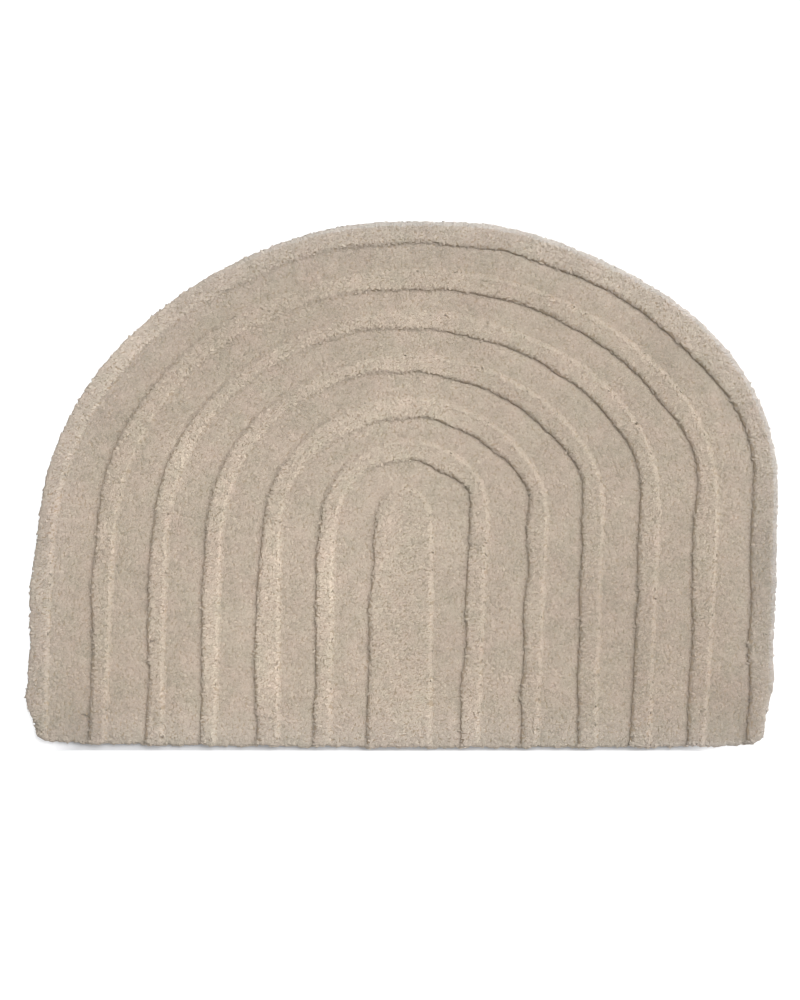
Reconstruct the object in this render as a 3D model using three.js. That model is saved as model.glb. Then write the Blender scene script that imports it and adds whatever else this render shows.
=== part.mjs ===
// A tufted wool doormat in the shape of a broad arch, lying flat with its pile up.
// One piece: a low pile field, a raised rim, five raised ribs nested inside it and a raised middle arch.
// Millimetres, +Z up. The origin is on the floor, under the middle of the mat, and the hem faces -Y.

import * as THREE from "three";
import { mergeVertices } from "three/addons/utils/BufferGeometryUtils.js";

// Overall sizes
const LEG_LENGTH = 245.5; // from the springing line, where the arch begins, down to the middle of the hem
const HEM_LIFT = 6; // how much the hem rises towards its two ends
const HEM_TILT = 1.8; // how much lower than level the hem's right end lies, and higher its left end
const LEFT_CORNER = 20; // radius of the lower left corner
const RIGHT_CORNER = 24; // radius of the lower right corner

// Heights above the floor, backing and pile together
const FIELD = 9;
const RAISED = 13;
const CROWNING = 0.5; // how much a band stands up, and a field strip swells, between its two sides

// The sides of a raised band. The pile leans one way, so a side that faces that way stands over a carved groove,
// and a side that faces the other way slopes gently.
const PILE_LEAN = new THREE.Vector2(-1, -1).normalize();
const STEEP_RUN = 1.5;
const GENTLE_RUN = 5;
const DEEP_GROOVE = 1.8;
const SHALLOW_GROOVE = 0.4;
const SHOULDER_DROP = 0.7; // how far a band's shoulder lies under its top

// The outer wall bulges, because the pile at the edge leans out over the backing:
// a row for each ring of the wall, going down
const WALL = [
  { inset: 5, share: 1 },
  { inset: 1.4, share: 0.8 },
  { inset: 0, share: 0.48 },
  { inset: 3, share: 0 },
];

// A place round the mat is a turn in degrees: 180 at the left springing line, 90 at the crown and 0 at the right
// springing line. A leg, from its springing line to the hem, counts as LEG_TURN degrees more.
const LEG_TURN = 45;
const TURNS = [180 + LEG_TURN, 180, 155, 120, 90, 60, 40, 20, 0, -LEG_TURN];

// Distance of each edge from the spine line, which runs up the middle of the legs to the centre of the arch.
// A row for each edge. The columns are the turns above:
// left hem, left spring, left haunch, left of crown, crown, right of crown, right haunch, right shoulder,
// right spring, right hem.
const EDGES = {
  rimOuter: [451, 442, 419, 387, 380, 403, 432, 455, 446, 436],
  rimInner: [429, 420, 399, 363, 356, 374, 398, 427, 415, 411],
  rib1Outer: [377, 369, 356, 329, 321, 337, 359, 380, 373, 358],
  rib1Inner: [358, 347, 334, 308, 300, 317, 336, 359, 347, 338],
  rib2Outer: [308, 302, 292, 273, 271, 281, 300, 312, 303, 292],
  rib2Inner: [290, 284, 276, 259, 255, 262, 277, 292, 281, 270],
  rib3Outer: [243, 238, 233, 220, 220, 226, 236, 244, 236, 228],
  rib3Inner: [227, 219, 214, 206, 203, 205, 215, 223, 212, 207],
  rib4Outer: [176, 172, 170, 167, 168, 171, 174, 176, 169, 158],
  rib4Inner: [151, 149, 151, 146, 147, 149, 155, 158, 147, 139],
  rib5Outer: [109, 103, 105, 113, 117, 117, 115, 105, 98, 88],
  rib5Inner: [90, 85, 86, 95, 98, 95, 97, 84, 76, 68],
  archOuter: [44, 36, 38, 53, 62, 52, 40, 34, 33, 31],
};

// The ribs between the middle arch and the rim, from the inside out
const RIBS = [5, 4, 3, 2, 1];

// How finely the surface is divided
const LEG_STEPS = 7;
const ARCH_STEPS = 54;
const RIM_SHARES = [0.42, 0.72, 0.92, 1]; // levels across the rim, from its inner shoulder to its outer edge

const lerp = THREE.MathUtils.lerp;

// Distance of an edge from the spine line at a turn: a cubic through the row's values, whose slope at each value
// is that of the line between its two neighbours.
function edgeAt(edge, turn) {
  const values = EDGES[edge];
  const last = TURNS.length - 1;
  const slope = (i) => {
    const before = Math.max(i - 1, 0);
    const after = Math.min(i + 1, last);
    return (values[after] - values[before]) / (TURNS[after] - TURNS[before]);
  };
  let i = 0;
  while (i < last - 1 && turn < TURNS[i + 1]) {
    i += 1;
  }
  const span = TURNS[i + 1] - TURNS[i];
  const t = (turn - TURNS[i]) / span;
  const start = (1 + 2 * t) * (1 - t) ** 2 * values[i] + t * (1 - t) ** 2 * span * slope(i);
  const end = t ** 2 * (3 - 2 * t) * values[i + 1] - t ** 2 * (1 - t) * span * slope(i + 1);
  return start + end;
}

// The direction that points straight out from the spine line at a turn
function outward(turn) {
  const angle = THREE.MathUtils.degToRad(THREE.MathUtils.clamp(turn, 0, 180));
  return new THREE.Vector2(Math.cos(angle), Math.sin(angle));
}

// The point of the plan at a turn and a distance from the spine line, drawn in from the outline by an inset.
// The legs' rows curve up round the lower corners with the hem.
function plan(turn, distance, inset) {
  const corner = lerp(RIGHT_CORNER, LEFT_CORNER, THREE.MathUtils.clamp(turn / 180, 0, 1));
  const round = THREE.MathUtils.clamp((distance - edgeAt("rimOuter", turn)) / corner + 1, 0, 1);
  const reach = distance - inset * round;
  const out = outward(turn).multiplyScalar(reach);
  const down = Math.max(-turn, turn - 180, 0) / LEG_TURN;
  const across = out.x / EDGES.rimOuter[0];
  const level = HEM_LIFT * across ** 6 - HEM_TILT * across - LEG_LENGTH;
  const hem = level + corner - (corner - inset) * Math.sqrt(1 - round ** 2);
  return new THREE.Vector2(out.x, out.y + down * hem);
}

// The levels of one section of the top, from the spine line out: distance from the spine line and height
function section(turn) {
  const side = (edge, facing) => {
    const over = 0.5 + 0.5 * outward(turn).multiplyScalar(facing).dot(PILE_LEAN);
    const foot = edgeAt(edge, turn);
    return {
      foot: { distance: foot, height: FIELD - lerp(SHALLOW_GROOVE, DEEP_GROOVE, over) },
      shoulder: {
        distance: foot - facing * lerp(GENTLE_RUN, STEEP_RUN, over),
        height: RAISED - SHOULDER_DROP,
      },
    };
  };
  const between = (a, b, height) => ({ distance: lerp(a.distance, b.distance, 0.5), height });

  const arch = side("archOuter", 1);
  const spine = { distance: 0, height: RAISED + CROWNING };
  const levels = [spine, between(spine, arch.shoulder, RAISED + CROWNING), arch.shoulder, arch.foot];
  for (const rib of RIBS) {
    const inner = side(`rib${rib}Inner`, -1);
    const outer = side(`rib${rib}Outer`, 1);
    levels.push(between(levels[levels.length - 1], inner.foot, FIELD + CROWNING));
    levels.push(inner.foot, inner.shoulder);
    levels.push(between(inner.shoulder, outer.shoulder, RAISED + CROWNING));
    levels.push(outer.shoulder, outer.foot);
  }
  const rim = side("rimInner", -1);
  levels.push(between(levels[levels.length - 1], rim.foot, FIELD + CROWNING), rim.foot, rim.shoulder);
  for (const share of RIM_SHARES) {
    levels.push({
      distance: lerp(rim.shoulder.distance, edgeAt("rimOuter", turn), share),
      height: RAISED + CROWNING * (1 - 3 * share ** 4),
    });
  }
  return levels;
}

// The turns of all sections, from the left hem round the arch to the right hem
function sectionTurns() {
  const turns = [];
  for (let i = 0; i < LEG_STEPS; i += 1) {
    turns.push(180 + LEG_TURN * (1 - i / LEG_STEPS));
  }
  for (let i = 0; i <= ARCH_STEPS; i += 1) {
    turns.push(180 * (1 - i / ARCH_STEPS));
  }
  for (let i = 1; i <= LEG_STEPS; i += 1) {
    turns.push((-LEG_TURN * i) / LEG_STEPS);
  }
  return turns;
}

function raise(point, height) {
  return new THREE.Vector3(point.x, point.y, height);
}

// Two triangles of a quad whose corners run counterclockwise, leaving out a triangle whose corners coincide
function addQuad(triangles, a, b, c, d) {
  for (const triangle of [[a, b, c], [a, c, d]]) {
    const [p, q, r] = triangle;
    if (p.distanceTo(q) > 1e-6 && q.distanceTo(r) > 1e-6 && r.distanceTo(p) > 1e-6) {
      triangles.push(p, q, r);
    }
  }
}

// The whole mat as one closed surface: the top from section to section, the wall from ring to ring, and the
// flat underside.
function matGeometry() {
  const sections = sectionTurns().map((turn) => ({ turn, levels: section(turn) }));
  const triangles = [];

  const top = sections.map(({ turn, levels }) =>
    levels.map(({ distance, height }) => raise(plan(turn, distance, WALL[0].inset), height)),
  );
  for (let i = 0; i + 1 < top.length; i += 1) {
    for (let j = 0; j + 1 < top[i].length; j += 1) {
      addQuad(triangles, top[i][j], top[i + 1][j], top[i + 1][j + 1], top[i][j + 1]);
    }
  }

  // Round the edge: out along the left hem, round the outline and back in along the right hem
  const first = sections[0];
  const last = sections[sections.length - 1];
  const edge = [
    ...first.levels.map((level) => ({ turn: first.turn, ...level })),
    ...sections.slice(1, -1).map(({ turn, levels }) => ({ turn, ...levels[levels.length - 1] })),
    ...last.levels.map((level) => ({ turn: last.turn, ...level })).reverse().slice(0, -1),
  ];
  const rings = WALL.map(({ inset, share }) =>
    edge.map(({ turn, distance, height }) => raise(plan(turn, distance, inset), share * height)),
  );
  for (let k = 0; k + 1 < rings.length; k += 1) {
    for (let i = 0; i < edge.length; i += 1) {
      const next = (i + 1) % edge.length;
      addQuad(triangles, rings[k][i], rings[k][next], rings[k + 1][next], rings[k + 1][i]);
    }
  }

  const floor = rings[rings.length - 1];
  const outline = floor.map((point) => new THREE.Vector2(point.x, point.y));
  for (const [a, b, c] of THREE.ShapeUtils.triangulateShape(outline, [])) {
    const corners = [floor[a], floor[b], floor[c]];
    const turned = new THREE.Vector3().subVectors(corners[1], corners[0]);
    turned.cross(new THREE.Vector3().subVectors(corners[2], corners[0]));
    triangles.push(...(turned.z < 0 ? corners : corners.reverse()));
  }

  const geometry = new THREE.BufferGeometry().setFromPoints(triangles);
  geometry.computeBoundingBox();
  const middle = geometry.boundingBox.getCenter(new THREE.Vector3());
  geometry.translate(-middle.x, -middle.y, 0);
  const joined = mergeVertices(geometry);
  joined.computeVertexNormals();
  return joined;
}

function woolMaterial() {
  return new THREE.MeshStandardMaterial({ color: new THREE.Color("#b0a08c"), roughness: 0.95, metalness: 0 });
}

const doormat = new THREE.Group();
const mat = new THREE.Mesh(matGeometry(), woolMaterial());
mat.name = "tufted_mat";
doormat.add(mat);

export default doormat;
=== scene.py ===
"""Tufted arch doormat: a carved wool mat with a rim, nested ribs and a middle arch, its pile made tuft by
tuft.

Lengths in the tables below are millimetres, and M turns them into Blender's metres. The mat lies in the
frame's own place: hem towards -Y, crown of the arch towards +Y, underside on the floor at height 0.
"""

import bmesh
import bpy
import numpy as np
from bpy.props import FloatProperty, FloatVectorProperty, IntProperty, PointerProperty
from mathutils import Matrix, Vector


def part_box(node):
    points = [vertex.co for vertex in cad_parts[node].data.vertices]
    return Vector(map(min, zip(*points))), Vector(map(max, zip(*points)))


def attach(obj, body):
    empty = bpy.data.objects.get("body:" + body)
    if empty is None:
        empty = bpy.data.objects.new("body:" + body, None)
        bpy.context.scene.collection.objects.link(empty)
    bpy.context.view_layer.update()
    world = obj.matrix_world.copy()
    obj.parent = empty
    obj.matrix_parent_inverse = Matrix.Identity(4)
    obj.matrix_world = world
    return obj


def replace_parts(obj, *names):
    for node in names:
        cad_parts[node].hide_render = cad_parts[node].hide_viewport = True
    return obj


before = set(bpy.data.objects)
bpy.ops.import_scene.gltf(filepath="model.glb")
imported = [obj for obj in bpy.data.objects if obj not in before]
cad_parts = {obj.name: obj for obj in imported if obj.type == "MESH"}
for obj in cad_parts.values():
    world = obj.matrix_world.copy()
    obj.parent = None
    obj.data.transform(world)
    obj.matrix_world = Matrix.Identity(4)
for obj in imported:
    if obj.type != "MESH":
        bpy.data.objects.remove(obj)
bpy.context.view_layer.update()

bl_info = {
    "name": "Tufted arch doormat",
    "version": (1, 0, 0),
    "blender": (4, 5, 0),
    "location": "3D View > Sidebar > Doormat",
    "description": "Builds a hand-tufted wool doormat with a carved rim, ribs and middle arch",
    "category": "Add Mesh",
}

M = 0.001
NODE = "tufted_mat"
BODY = "root"

# A place round the mat is a turn in degrees: 180 at the left springing line, 90 at the crown and 0 at the
# right springing line. A leg, from its springing line to the hem, counts as LEG_TURN degrees more.
LEG_TURN = 45.0
LEG_LENGTH = 245.5  # down to the middle of the hem
HEM_LIFT = 6.0  # how much the hem rises towards its two ends
HEM_TILT = 1.8  # how much lower than level the hem's right end lies, and higher its left end
# How much further down the hem comes, at which X and within what reach
HEM_SAG, SAG_AT, SAG_REACH = 1.3, 20.0, 190.0
LEFT_CORNER = 12.0
RIGHT_CORNER = 15.0
TURNS = (180 + LEG_TURN, 180, 155, 120, 90, 60, 40, 20, 0, -LEG_TURN)

# Distance of each edge from the spine line at the turns above: left hem, left spring, left haunch, left of
# crown, crown, right of crown, right haunch, right shoulder, right spring and right hem
EDGES = {
    "rimOuter": (451, 442, 419, 387, 380, 403, 432, 455, 446, 436),
    "rimInner": (429, 420, 399, 363, 356, 374, 398, 427, 415, 411),
    "rib1Outer": (377, 369, 356, 329, 321, 337, 359, 380, 373, 358),
    "rib1Inner": (358, 347, 334, 308, 300, 317, 336, 359, 347, 338),
    "rib2Outer": (308, 302, 292, 273, 271, 281, 300, 312, 303, 292),
    "rib2Inner": (290, 284, 276, 259, 255, 262, 277, 292, 281, 270),
    "rib3Outer": (243, 238, 233, 220, 220, 226, 236, 244, 236, 228),
    "rib3Inner": (227, 219, 214, 206, 203, 205, 215, 223, 212, 207),
    "rib4Outer": (176, 172, 170, 167, 168, 171, 174, 176, 169, 158),
    "rib4Inner": (151, 149, 151, 146, 147, 149, 155, 158, 147, 139),
    "rib5Outer": (109, 103, 105, 113, 117, 117, 115, 105, 98, 88),
    "rib5Inner": (90, 85, 86, 95, 98, 95, 97, 84, 76, 68),
    "archOuter": (44, 36, 38, 53, 62, 52, 40, 34, 33, 31),
}

# Where the shears strayed from an edge: pairs of a turn and a shift outwards
STRAYS = {
    "rimOuter": (
        (225, -12), (222, -7.5), (218, 0.5), (213, -1.5), (209, -1.5), (205, -3), (199, -1.5), (191, -0.5),
        (183, -4), (176, -4.5), (168, -1), (156, 1), (138, -1.5), (118, -1), (101, 1), (84, -1.5),
        (76, 0.5), (60, -1), (47, -1.5), (35, 1.5), (18, 0), (12, 0), (3, -2), (-11, 0), (-20, 0), (-28, 0),
        (-33, 2.5), (-38, -2), (-45, -7)),
    "rimInner": (
        (125, -1), (106, 2), (92, -2.5), (87, -0.5), (79, -3), (71, 0), (64, -2), (52, 0.5), (43, 0.5),
        (30, -2.5), (14, 2), (2, -1), (-16, 1.5), (-22, -1), (-34, 1.5), (-42, -1.5)),
    "rib1Outer": (
        (222, -0.5), (215, -1.5), (207, -2), (200, -1), (189, 2), (184, -0.5), (177, -1), (165, 1.5),
        (159, 1.5), (152, -1), (140, 0)),
    "rib1Inner": (
        (108, 2), (92, -0.5), (85, -1.5), (80, 0), (74, -2), (62, 0), (48, -0.5), (37, 0.5), (28, -3.5),
        (14, 3), (5, -2), (0, -2), (-12, 0.5), (-20, 2.5), (-31, 0.5)),
    "rib2Outer": (
        (222, 0.5), (210, -2), (201, 1.5), (197, 0), (192, 1.5), (185, 1), (177, -1.5), (165, 1), (156, 1),
        (145, 0)),
    "rib2Inner": (
        (108, 0.5), (102, 1.5), (90, -2.5), (80, -2), (72, -3), (60, 0.5), (51, 0.5), (47, -1), (38, 1),
        (28, -1), (19, 1), (8, -1.5), (-5, -0.5), (-12, 2), (-16, 0.5), (-21, 1.5), (-30, 0.5)),
    "rib3Outer": (
        (222, 0), (214, -0.5), (207, 1), (198, 1), (191, 2), (184, -0.5), (175, -0.5), (160, 0)),
    "rib3Inner": (
        (114, -1), (103, 1), (91, -2.5), (84, -1), (74, -3), (66, -1), (57, 0.5), (45, -1), (38, -2),
        (30, 0), (19.5, 2), (16, 0), (8, -2), (-3, 1), (-10, 0), (-21, 1), (-29, -1), (-38, 0.5)),
    "rib4Outer": (
        (221, -0.5), (214, 3), (202, 4), (189, 1.5), (180, -2), (166, -2), (158, 0), (150, 0.5), (140, -1)),
    "rib4Inner": (
        (112, -2), (104, 0.5), (95, -2.5), (87, -1), (79, 1.5), (70, -1), (55, -1), (45, -3), (36, -0.5),
        (28, -0.5), (20, 1.5), (11, -3), (3, -2), (-5, 3), (-9, 2.5), (-14.5, -1), (-21, 1), (-29, 1),
        (-33, -2.5), (-37, 0), (-42, 1)),
    "rib5Outer": (
        (221, -1), (217.5, 1), (214, -2), (205, -0.5), (194, 1.5), (189, 0.5), (184, 2), (177, -2),
        (168, -1), (155, 0), (140, 0.5)),
    "rib5Inner": (
        (108, -2), (93, -3.5), (79, -1), (66, -2.5), (50, -1.5), (36, 0.5), (21, -1), (0, 1.5), (-8, 1),
        (-16, 0.5), (-25, 2.5), (-30, -1.5), (-41, -1)),
    "archOuter": (
        (220, 1), (206, 1.5), (194, 3.5), (188, 1), (185, -1), (181, 1), (168, 0.5), (150, -1.5),
        (136, -2.5), (120, -1)),
}

# How an edge wavers, how unevenly deep the shears went along it, and how the hem wavers, as sine waves: the
# length and the height of each. From one edge to the next the phases move on by the two values below.
EDGE_WAVES = ((47.0, 0.25), (23.0, 0.3), (13.0, 0.3), (7.5, 0.4), (4.6, 0.5))
DEPTH_WAVES = ((61.0, 0.3), (29.0, 0.25), (17.0, 0.25), (9.0, 0.35), (5.5, 0.35))
HEM_WAVES = ((83.0, 0.7), (37.0, 0.6), (19.0, 0.5), (9.0, 0.4))
EDGE_PHASE, DEPTH_PHASE = 1.7, 2.3
STRAY_ENDS = 8  # how many degrees beyond the last stray of an edge the shears are back on it

# Short snips where the shears slipped, as the two ends of each, and how deep and how wide they are
SNIPS = (
    ((-384, -209), (-379, -209.5)), ((-379, -209.5), (-374, -213)), ((-374, -213), (-376, -219)),
    ((-303, -121), (-296, -119)))
SNIP_DEPTH, SNIP_WIDTH = 0.5, 1.7

# The strips of pile from the inside out: name, inner edge, outer edge and whether the strip is raised
STRIPS = (
    ("arch", None, "archOuter", True),
    ("field_1", "archOuter", "rib5Inner", False),
    ("rib_1", "rib5Inner", "rib5Outer", True),
    ("field_2", "rib5Outer", "rib4Inner", False),
    ("rib_2", "rib4Inner", "rib4Outer", True),
    ("field_3", "rib4Outer", "rib3Inner", False),
    ("rib_3", "rib3Inner", "rib3Outer", True),
    ("field_4", "rib3Outer", "rib2Inner", False),
    ("rib_4", "rib2Inner", "rib2Outer", True),
    ("field_5", "rib2Outer", "rib1Inner", False),
    ("rib_5", "rib1Inner", "rib1Outer", True),
    ("field_6", "rib1Outer", "rimInner", False),
    ("rim", "rimInner", "rimOuter", True),
)

# The ground's side wall, from the top down: how far it lies inside the outline, and its share of the height
# there
WALL = ((4.5, 1.0), (2.0, 0.93), (0.9, 0.75), (0.6, 0.5), (3.0, 0.0))
GROUND_GAPS = (0.0, 0.7, 2.0, 4.0, 7.0)  # where the ground's levels lie, in from each edge of a strip
# On a narrow strip a level lies no further in than this share of the half width, plus its own value over
# CROWDING
CROWDED, CROWDING = 0.9, 200
LEG_SECTIONS, ARCH_SECTIONS = 35, 200  # how many sections the ground has down a leg and round the arch
# The rows of tufts down the side wall: how far the tips lie inside the outline, their share of the height
# there, and how far out they lean for each millimetre up
WALL_TUFTS = (
    (3.4, 1.0, 0.15), (2.1, 0.97, 0.3), (0.9, 0.91, 0.6), (0.0, 0.76, 1.1), (-0.6, 0.56, 2.2),
    (-0.5, 0.36, 4.5), (0.5, 0.17, 8.0))
WALL_PITCH, WALL_STEPS = 0.8, (0.1, 0.9)  # the share of the pitch at which they stand, and where in a step
FREE = 0.6  # how far the tips stand over the ground
# The least height of a tuft's root, of a tip on the side wall and of any point of a tuft
DEEPEST, LOWEST_TIP, LOWEST_POINT = 0.6, 0.9, 0.1

PILE_LEAN = np.array((-0.87, -0.49))  # the way that the pile lies, in plan
# A side is steep where it faces with the lean: from the first value of its direction's part along the lean,
# fully so this much further, and round the arch by the last share
STEEP_FROM, STEEP_SPAN, STEEP_ROUND_ARCH = 0.2, 0.75, 0.9
STEEP_RUN, STEEP_FALL = 5.5, 0.55  # how wide a steep side is rounded off, and its share of the rise
GENTLE_RUN = 3.6  # how far a side that faces against the lean slopes to each side of its middle
GENTLE_WIDER, GENTLE_ALONG = 1.6, 0.6  # how much wider one along the lean is, and up to which part along it
# How far beyond the raised strip's edge that middle lies: at an inner edge, and at an outer one on a leg
# and at the crown
GENTLE_BEYOND = (0.8, 0.2, 1.4)
GROOVE, GROOVE_WIDTH = 0.55, 3.2  # depth and half width of the groove in the low pile under a steep side
SWELL = 0.4  # how much a low strip swells in its middle
# The shears take this much off a raised and a low strip beside an edge that faces against and with the lean
RAISED_CUT, LOW_CUT = (-0.6, 1.65), (-0.6, -1.5)
RIM_CUT, HEM_CUT = 4.2, 2.5  # how far inside the outline and the hem the tufts of the top end
ROUNDING, ROUNDED = 2.2, 9.0  # how far the pile falls towards the outline and the hem, and over what width

# How far the tufts stray from even places: along a row as a share of a step, across it as a share of a row's
# width and in millimetres, and how many times more beside a steep side, within what reach
STRAY_ALONG, STRAY_ACROSS, LOOSE = 0.38, 0.34, 0.35
RAGGED, RAGGED_REACH = 3.5, 2.5
ROW_PLACES = 1600  # at how many places a row is measured
SLOPE_STEP, EDGE_GAP = 0.5, 0.01  # how far off the surface's slope is read, and how far inside the edges
# In pairs for low and raised pile: how much a tuft leans with the pile, and how much the lean, the height
# of the tip and the slope of the cut end vary
LEAN_WITH_PILE, LEAN_STRAY, HEIGHT_STRAY, CUT_STRAY = (0.2, 0.3), (0.14, 0.16), (0.1, 0.15), (0.13, 0.17)
LEAN_FROM_MIDDLE = 0.7  # how much a rib's tufts lean away from its middle, from one side to the other
LEAN_OUT_STRAY = 0.2  # how much the lean outwards varies more on raised pile
# How many times more the lean varies beside a steep side, and within what reach
UNEVEN_SIDE, UNEVEN_REACH = 2, 3.0
# How much a tuft leans out on the rim, how much more near the outline, and how near
LEAN_RIM, LEAN_OUTLINE, OUTLINE_REACH = 0.15, 0.25, 14.0
# How much it leans down at the hem, how its cut end slopes there, and how near
LEAN_HEM, CUT_HEM, HEM_REACH = 0.5, 0.3, 12.0
# How much the side wall's tufts vary: in the height of the tip, its place and the lean
WALL_HEIGHT_STRAY, WALL_LOOSE, WALL_LEAN_STRAY = 0.25, 0.35, 0.15

# A tuft: its least and greatest width as shares of the usual one, the points of its crown, their least and
# greatest distance from its middle as shares of half its width, and how far up or down they lie
TUFT_WIDTHS, SIDES, CROWN_RADII, CROWN_HEIGHTS = (0.85, 1.15), 5, (0.75, 1.2), (-0.24, 0.04)
CROWN_MIDDLE, CROWN_ASKEW = 0.15, 0.15  # how high its middle point stands, and how much its long way varies
CROWN_ON_LOW, CROWN_ON_RAISED = (1.15, 0.95), (1.6, 0.76)  # how much longer and narrower than round it is
CROWN_DEPTH = 0.95  # how far up the tuft the crown's colour is, 1 being the middle point's

# Soft round patches where the pile is made paler or darker, each with its middle as millimetres from the
# arch's centre, its reach, and how much paler it makes the low pile, the ribs with the middle arch, and the
# rim
PALE_PATCHES = (
    (-100, -60, 190, 0.02, 0.09, 0.0),
    (-100, -50, 50, 0.03, 0.06, 0.0),
    (-235, -40, 130, -0.01, 0.06, 0.0),
    (0, 190, 150, 0.0, 0.09, 0.0),
    (-240, 130, 80, -0.01, 0.06, 0.0),
    (0, 265, 70, 0.06, 0.06, 0.0),
    (290, -120, 170, -0.08, -0.10, -0.03),
    (415, -215, 65, -0.15, -0.10, -0.12),
    (428, -45, 80, 0.0, 0.0, -0.14),
    (360, 0, 120, 0.0, 0.05, 0.0),
    (240, 120, 60, -0.07, -0.04, 0.0),
    (60, -130, 40, -0.07, 0.0, 0.0),
    (150, -75, 30, 0.03, 0.07, 0.0),
    (20, -190, 45, 0.0, 0.05, 0.0),
    (80, -205, 32, 0.03, 0.11, 0.0),
    (-400, -200, 110, -0.09, -0.09, -0.11),
    (-330, -50, 90, -0.06, -0.03, 0.0),
    (-330, 190, 90, -0.08, -0.04, 0.0),
    (-90, 310, 190, -0.09, -0.03, 0.05),
    (80, 340, 60, -0.04, 0.0, 0.0),
    (270, 290, 170, -0.01, 0.03, 0.08),
    (345, 240, 60, -0.05, 0.0, 0.0),
    (-340, 230, 60, 0.0, 0.0, 0.16),
    (-410, 120, 60, -0.05, 0.0, 0.06),
    (-265, 105, 30, 0.09, 0.08, 0.0),
    (-85, -40, 45, 0.0, 0.08, 0.0),
    (-235, -140, 50, 0.0, 0.07, 0.0),
    (-155, -160, 40, 0.0, 0.08, 0.0),
    (-380, -218, 35, -0.11, -0.09, -0.03),
    (215, -60, 35, -0.08, -0.04, 0.0),
    (310, 260, 45, -0.07, 0.0, 0.0),
    (130, 165, 60, 0.0, -0.07, 0.0),
    (60, 10, 30, 0.08, 0.0, 0.0),
    (-10, 140, 65, 0.06, 0.06, 0.0),
)
GREYER, GREYER_REACH = 0.13, 35.0  # how much greyer the wool looks at the outline and the hem, and how far in
# Painted highlight at the very outline on the light's side: how much paler and greyer the wool is painted
# there, and how far in. That side is the way of LIT, and it is fully reached this far from the arch's centre.
EDGE_HIGHLIGHT, EDGE_HIGHLIGHT_GREY, EDGE_HIGHLIGHT_REACH = 0.08, 0.35, 4.0
LIT, LIT_REACH = (0.7, 0.7), 250
# Painted shade inside a snip: the tufts there are painted darker
SNIP_SHADE = 0.5  # how much darker a snip looks
LEAST_PALE, PALE_FEW = 0.964, 0.018  # a tuft's least paleness, and by how much a few exceed it
# Painted highlight: where a raised strip's side faces this way, its tufts are painted paler: by this much,
# this far in
HIGHLIGHT_FACING = np.array((0.85, -0.53))
SIDE_HIGHLIGHT, SIDE_HIGHLIGHT_REACH = 0.07, 4.5
# The side wall's tufts are painted paler too, as painted light, the more on low rows along the hem, which lie
# in shade
WALL_HIGHLIGHT = (0.4, 9.0)  # how much the side wall does so all round, and how much more low down along the hem

# The wool's two fibre colours mix by fine noise, a slow drift and patches: the scale of each, on the last
# two the noise's detail, and how much it changes the mix. DARK_SHARE is the mix's middle.
FIBRE_SCALE, FIBRE_SPREAD = 1700.0, 3.9
DRIFT, PATCH = (20.0, 2, 0.36), (80.0, 3, 0.4)
DARK_SHARE = 0.40
# Painted shade: the pile shades itself down between the tufts, so the colour is painted darker towards each
# tuft's root, and the ground between the tufts is painted like the roots
ROOT_SHADE = (0.80, 0.75, 0.67)  # how dark red, green and blue are at a tuft's root
ROOT_CURVE = 1.5  # the power by which they pale up the tuft
GROUND_DEPTH = 0.2  # how far up a tuft the ground's colour is
HUES = ((1.035, 0.97, 1.0, 1), (0.965, 1.03, 1.0, 1))  # the hues that the wool drifts between
HUE_DRIFT = (40.0, 4)  # the scale and detail of that drift
# The backing: a thread's width in millimetres, the tones of its two squares and the scale of its fibres
THREAD, BACKING_TONES, BACKING_GRAIN = 1.6, (("Color1", 1.0), ("Color2", 0.72)), 1400.0

# The camera stands straight over the mat. In the 800 by 1000 picture the arch's centre lies at this pixel,
# and one pixel covers this many millimetres of the mat.
PICTURE = (800, 1000)
CENTRE_PIXEL = (404, 540)
PIXEL = 1.195
SENSOR = 36  # width of the camera's film
FILTER = 0.95  # how many pixels wide a sample is spread

# The three suns: name, the direction that each stands in, and how many degrees wide it is
SUNS = (("key", (0.45, 0.9, 1.5), 28), ("right", (1.5, 0.3, 0.95), 35), ("left", (-1.2, -0.1, 0.7), 60))
SOFTBOX_PLACE, SOFTBOX_SIZE = (-0.10, -0.02, 1.5), 0.8  # in metres, where the soft light hangs and its width
FLOOR_REACH, FLOOR_DROP = 6.0, 0.3 * M  # in metres, the floor's half width and how far it lies under the mat
# The floor glows by itself, painted light that washes out the mat's shadow on it, but not along the hem,
# where the shadow shows. In metres, along X and Y: the middle of that dark strip, and how far from it the
# glow begins and is full. The strip itself glows by HEM_GLOW.
HEM_DARK = (-0.03, -0.307)
GLOW_FROM, GLOW_FULL = (0.36, 0.0102), (0.42, 0.0134)
HEM_GLOW = 0.1

WHITE = (1, 1, 1, 1)


def lerp(a, b, t):
    return a + (b - a) * t


def smooth(t):
    """Zero up to 0, one from 1, and an even S curve between: 3 t squared less 2 t cubed."""
    t = np.clip(t, 0, 1)
    return t * t * (3 - 2 * t)


def unit(vectors):
    """The same vectors at length 1."""
    return vectors / np.maximum(np.linalg.norm(vectors, axis=1), 1e-9)[:, None]


def with_z(flat, z):
    """Points or vectors of the plan with a Z."""
    return np.concatenate([flat, np.broadcast_to(z, flat.shape[:-1])[..., None]], -1)


def steps_along(line):
    """The distance from each point of a line to the next."""
    return np.linalg.norm(np.diff(line, axis=0), axis=1)


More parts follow.
